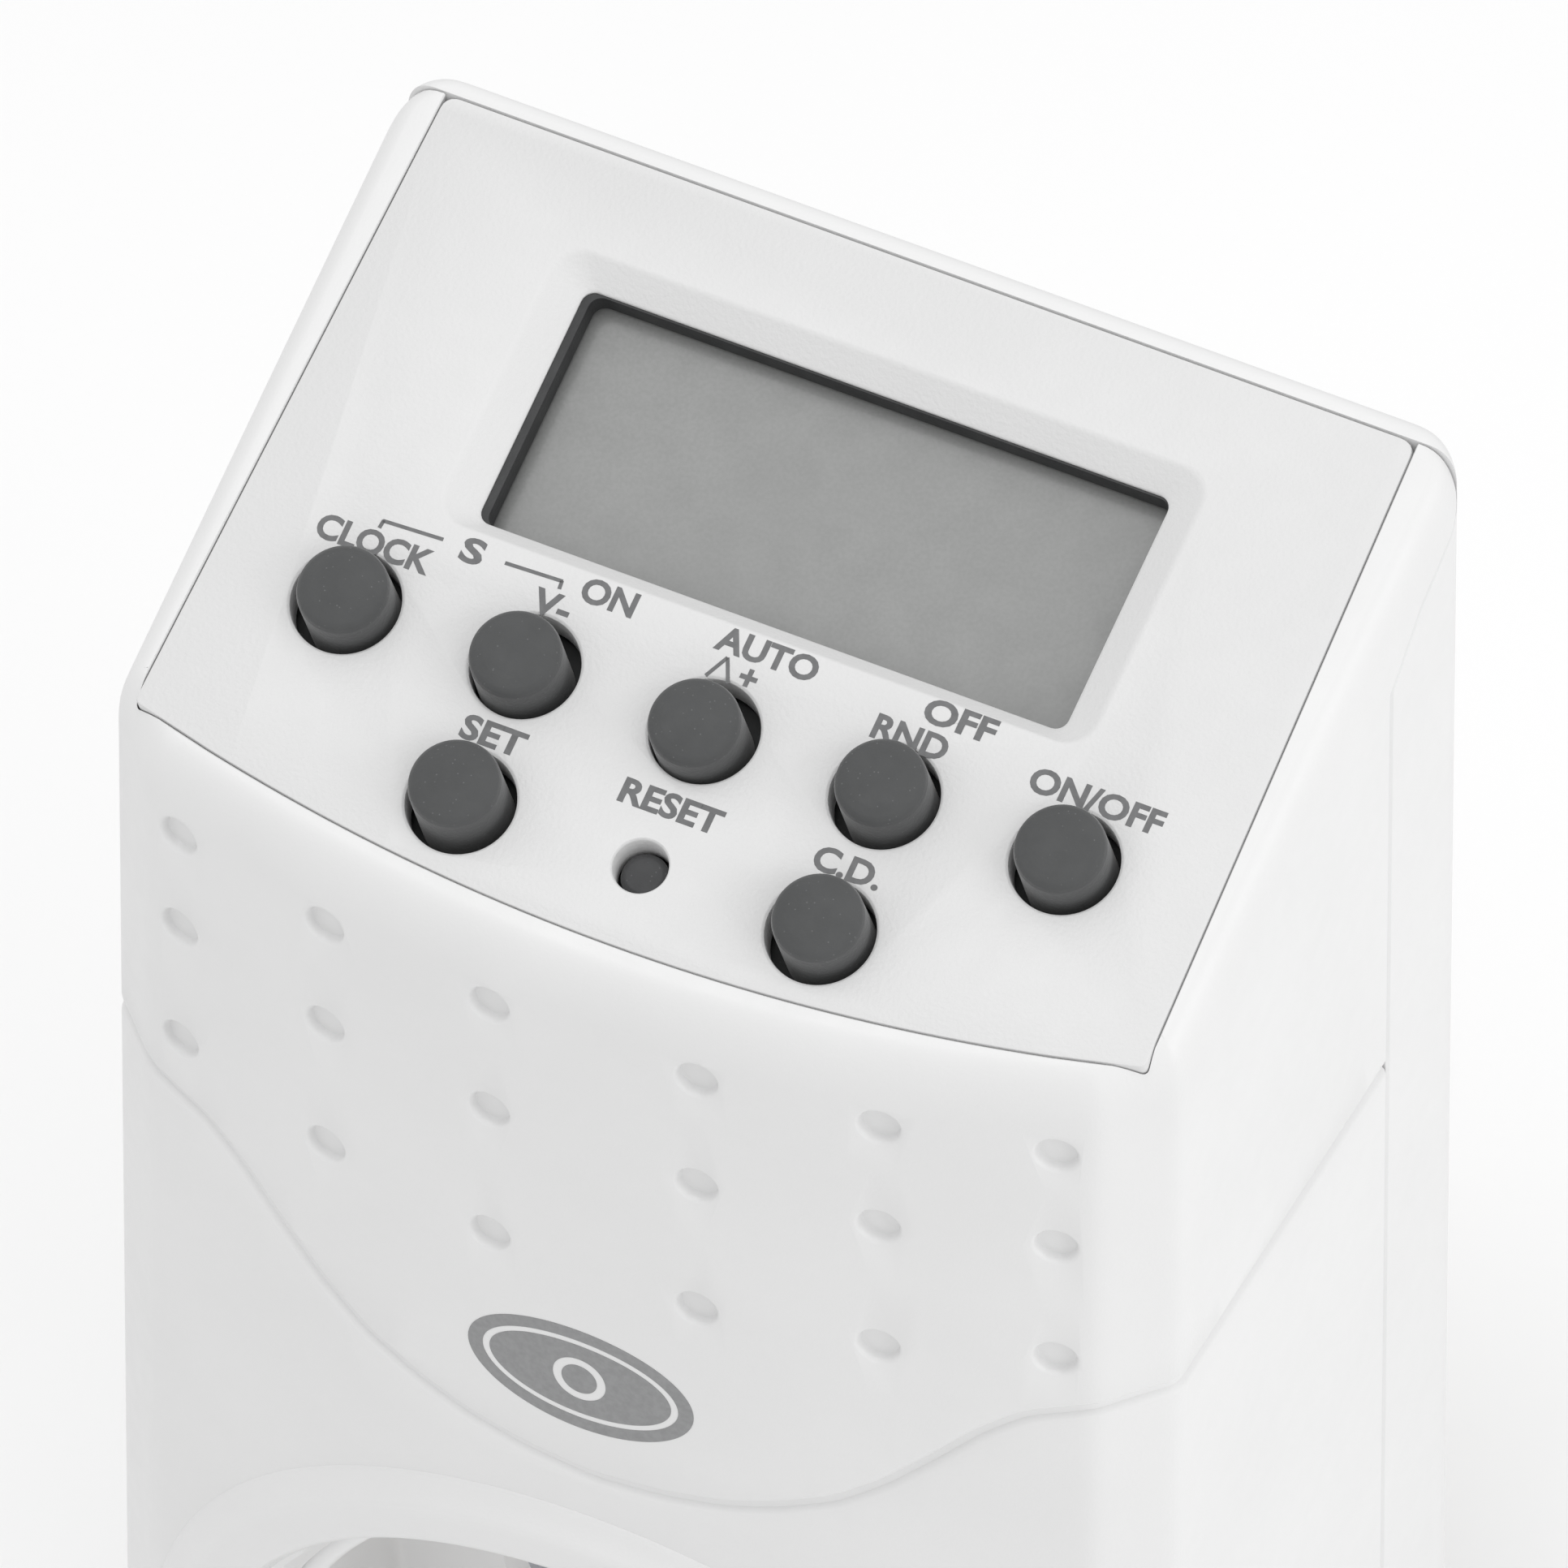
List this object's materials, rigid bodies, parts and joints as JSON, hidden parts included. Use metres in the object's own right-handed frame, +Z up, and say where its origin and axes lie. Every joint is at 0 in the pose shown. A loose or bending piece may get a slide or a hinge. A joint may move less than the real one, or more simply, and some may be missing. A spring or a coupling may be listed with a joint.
{
  "type": "programmable plug-in timer",
  "caption": "Digital plug-in mains timer with a sloped control panel, display, rubber keys, an earthed socket in front and a plug behind.",
  "frame": {"origin": "centre of the plug's end face, on the common axis of plug and socket", "axes": "+Z up along the body, +Y from the socket towards the wall, +X to the right seen from the front"},
  "size_m": [0.06, 0.0772, 0.1161],
  "materials": {
    "housing_plastic": "white moulded plastic, fine satin",
    "panel_plastic": "white moulded plastic, finely grained",
    "well_plastic": "white moulded plastic, smooth",
    "key_rubber": "mid grey rubber, matt",
    "dark_rubber": "dark grey rubber, matt",
    "dark_plastic": "dark grey plastic",
    "display": "grey reflective display cell, switched off",
    "conductive_rubber": "grey rubber",
    "green_board": "green solder mask",
    "tan_board": "tan paper laminate",
    "black_resin": "black moulded resin",
    "blue_plastic": "blue moulded plastic",
    "nickel": "nickel plate",
    "steel": "zinc plated steel",
    "bronze": "phosphor bronze spring strip",
    "copper_winding": "enamelled copper winding",
    "brass": "brass strip",
    "yellow_plastic": "yellow capacitor case",
    "resistor_ceramic": "coated ceramic",
    "blue_ceramic": "blue coated disc",
    "brown_insulation": "brown wire insulation",
    "blue_insulation": "blue wire insulation",
    "black_insulation": "black wire insulation",
    "grey_insulation": "grey ribbon insulation"
  },
  "bodies": {
    "housing": {"front_housing": "housing_plastic", "rear_housing": "housing_plastic", "pin_carrier": "housing_plastic", "control_panel": "panel_plastic", "socket_well": "well_plastic", "display_holder": "dark_plastic", "display_front_glass": "display", "display_back_glass": "display", "display_connector": "conductive_rubber", "keypad_mat": "conductive_rubber", "control_board": "green_board", "power_board": "tan_board", "processor_chip": "black_resin", "diode_1": "black_resin", "diode_2": "black_resin", "contact_block": "dark_plastic", "relay_base": "blue_plastic", "relay_case": "blue_plastic", "clock_crystal": "nickel", "backup_cell": "nickel", "thermal_fuse": "nickel", "plug_pin_live": "nickel", "plug_pin_neutral": "nickel", "backup_cell_tab": "steel", "board_screw_left": "steel", "board_screw_right": "steel", "shutter_spring": "steel", "relay_yoke": "steel", "housing_screw_1": "steel", "housing_screw_2": "steel", "housing_screw_3": "steel", "housing_screw_4": "steel", "live_contact": "bronze", "neutral_contact": "bronze", "relay_coil": "copper_winding", "earth_strap_top": "brass", "earth_strap_bottom": "brass", "earth_bridge": "brass", "relay_fixed_contact": "brass", "film_capacitor": "yellow_plastic", "reservoir_capacitor": "dark_plastic", "dropper_resistor": "resistor_ceramic", "varistor": "blue_ceramic", "live_wire": "brown_insulation", "neutral_wire": "blue_insulation", "switched_wire": "black_insulation", "ribbon_cable": "grey_insulation"},
    "clock_button": {"clock_button": "key_rubber"},
    "minus_button": {"minus_button": "key_rubber"},
    "plus_button": {"plus_button": "key_rubber"},
    "random_button": {"random_button": "key_rubber"},
    "on_off_button": {"on_off_button": "key_rubber"},
    "set_button": {"set_button": "key_rubber"},
    "countdown_button": {"countdown_button": "key_rubber"},
    "reset_button": {"reset_button": "dark_rubber"},
    "shutter": {"shutter": "blue_plastic"},
    "relay_armature": {"relay_armature": "steel", "relay_moving_contact": "brass"}
  },
  "joints": [
    {"name": "clock_press", "type": "slide", "parent": "housing", "child": "clock_button", "axis": [0, 0.3584, -0.9336], "range_m": [0, 0.0009], "stiffness_N_per_m": 400, "springref_m": -0.0003},
    {"name": "minus_press", "type": "slide", "parent": "housing", "child": "minus_button", "axis": [0, 0.3584, -0.9336], "range_m": [0, 0.0009], "stiffness_N_per_m": 400, "springref_m": -0.0003},
    {"name": "plus_press", "type": "slide", "parent": "housing", "child": "plus_button", "axis": [0, 0.3584, -0.9336], "range_m": [0, 0.0009], "stiffness_N_per_m": 400, "springref_m": -0.0003},
    {"name": "random_press", "type": "slide", "parent": "housing", "child": "random_button", "axis": [0, 0.3584, -0.9336], "range_m": [0, 0.0009], "stiffness_N_per_m": 400, "springref_m": -0.0003},
    {"name": "on_off_press", "type": "slide", "parent": "housing", "child": "on_off_button", "axis": [0, 0.3584, -0.9336], "range_m": [0, 0.0009], "stiffness_N_per_m": 400, "springref_m": -0.0003},
    {"name": "set_press", "type": "slide", "parent": "housing", "child": "set_button", "axis": [0, 0.3584, -0.9336], "range_m": [0, 0.0009], "stiffness_N_per_m": 400, "springref_m": -0.0003},
    {"name": "countdown_press", "type": "slide", "parent": "housing", "child": "countdown_button", "axis": [0, 0.3584, -0.9336], "range_m": [0, 0.0009], "stiffness_N_per_m": 400, "springref_m": -0.0003},
    {"name": "reset_press", "type": "slide", "parent": "housing", "child": "reset_button", "axis": [0, 0.3584, -0.9336], "range_m": [0, 0.0006], "stiffness_N_per_m": 400, "springref_m": -0.0003},
    {"name": "shutter_slide", "type": "slide", "parent": "housing", "child": "shutter", "axis": [1, 0, 0], "range_m": [0, 0.0065], "stiffness_N_per_m": 60, "springref_m": -0.002, "deforming": ["shutter_spring"]},
    {"name": "relay_armature_tilt", "type": "hinge", "parent": "housing", "child": "relay_armature", "pos_m": [-0.011, -0.03415, 0.0504], "axis": [1, 0, 0], "range_deg": [0, 3.2], "stiffness_Nm_per_rad": 0.02, "springref_deg": -5.73}
  ]
}
